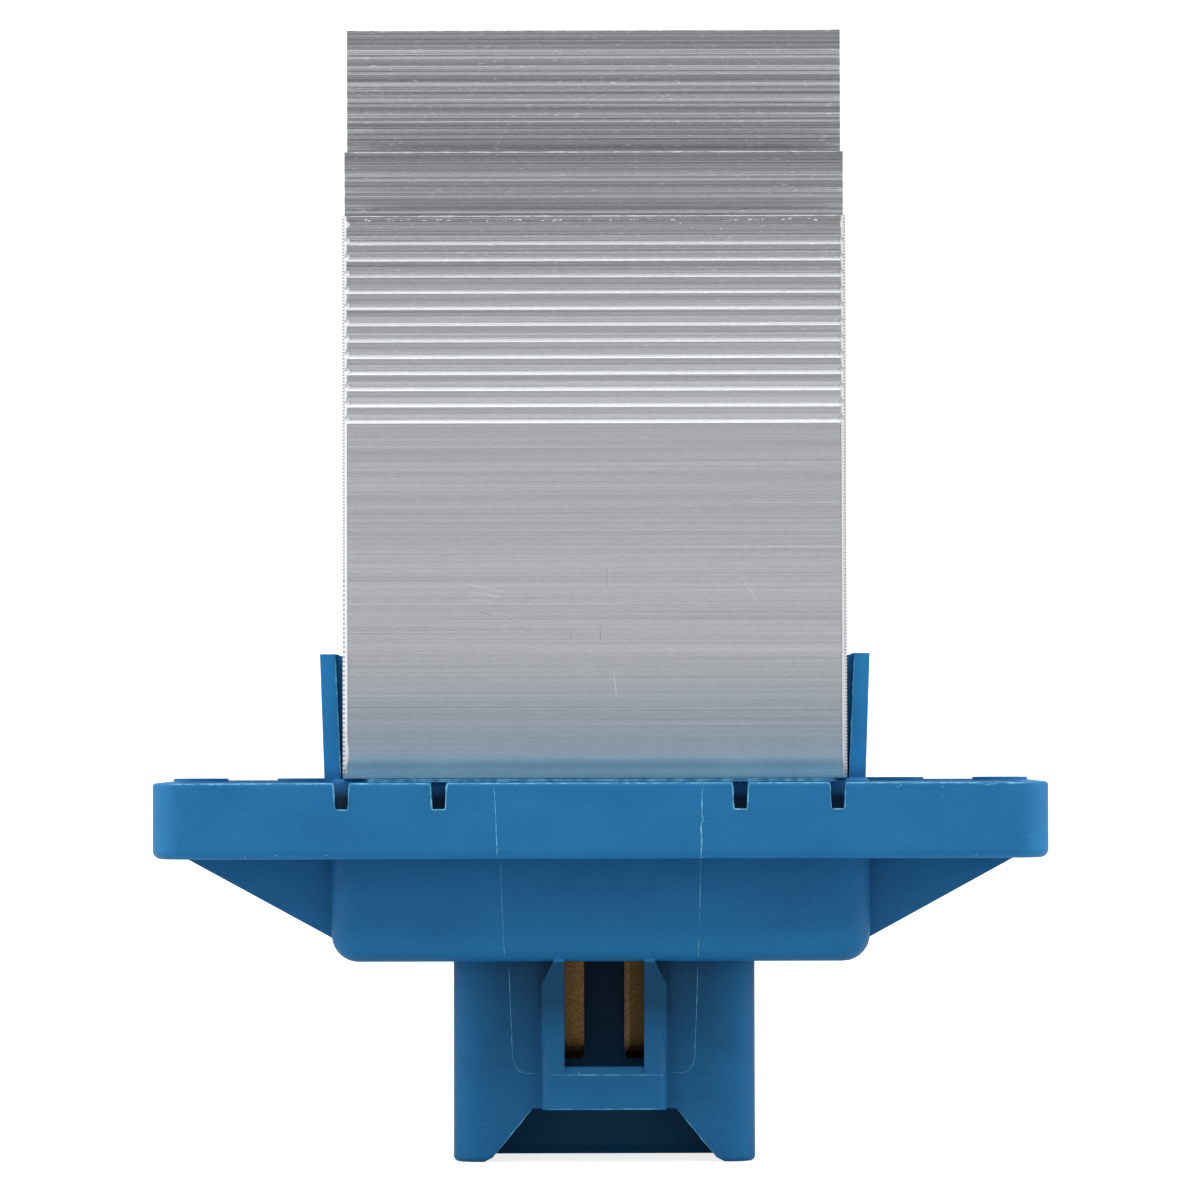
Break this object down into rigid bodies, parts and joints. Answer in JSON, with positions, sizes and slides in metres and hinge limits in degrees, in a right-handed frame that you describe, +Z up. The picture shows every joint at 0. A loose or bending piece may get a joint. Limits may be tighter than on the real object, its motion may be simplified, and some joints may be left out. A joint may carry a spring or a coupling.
{
  "type": "blower motor resistor",
  "caption": "Electronic blower motor resistor: finned heat sink on a moulded flange with a connector socket below.",
  "frame": {"origin": "midway between the two screw holes, in the plane of the flange rim that seats against the air duct", "axes": "+Z up through the heat sink and away from the connector, +X along the flange from one screw hole to the other, -Y towards the side with the connector latch"},
  "size_m": [0.0824, 0.04, 0.1065],
  "materials": {
    "housing": "moulded, fine grain",
    "heat_sink": "as extruded",
    "brass": "stamped",
    "board": "coated",
    "nylon": "moulded",
    "steel": "zinc plated",
    "can": "drawn",
    "shunt": "rolled",
    "epoxy": "moulded",
    "plate": "tinned",
    "pad": "matt",
    "chip_ceramic": "fired"
  },
  "bodies": {
    "root": {"chip_capacitors": "chip_ceramic", "chip_resistors": "chip_ceramic", "circuit_board": "board", "current_shunt": "shunt", "driver_chip": "epoxy", "filter_capacitor": "can", "heat_sink": "heat_sink", "heat_sink_screws": "steel", "housing": "housing", "insulating_bushes": "nylon", "power_blade_left": "brass", "power_blade_right": "brass", "signal_pin_left": "brass", "signal_pin_right": "brass", "suppressor_diode": "epoxy", "thermal_fuse": "can", "thermal_pad_left": "pad", "thermal_pad_right": "pad", "transistor_body_left": "epoxy", "transistor_body_right": "epoxy", "transistor_leads_left": "plate", "transistor_leads_right": "plate", "transistor_plate_left": "plate", "transistor_plate_right": "plate", "transistor_screws": "steel", "zener_diode": "epoxy"}
  },
  "joints": []
}
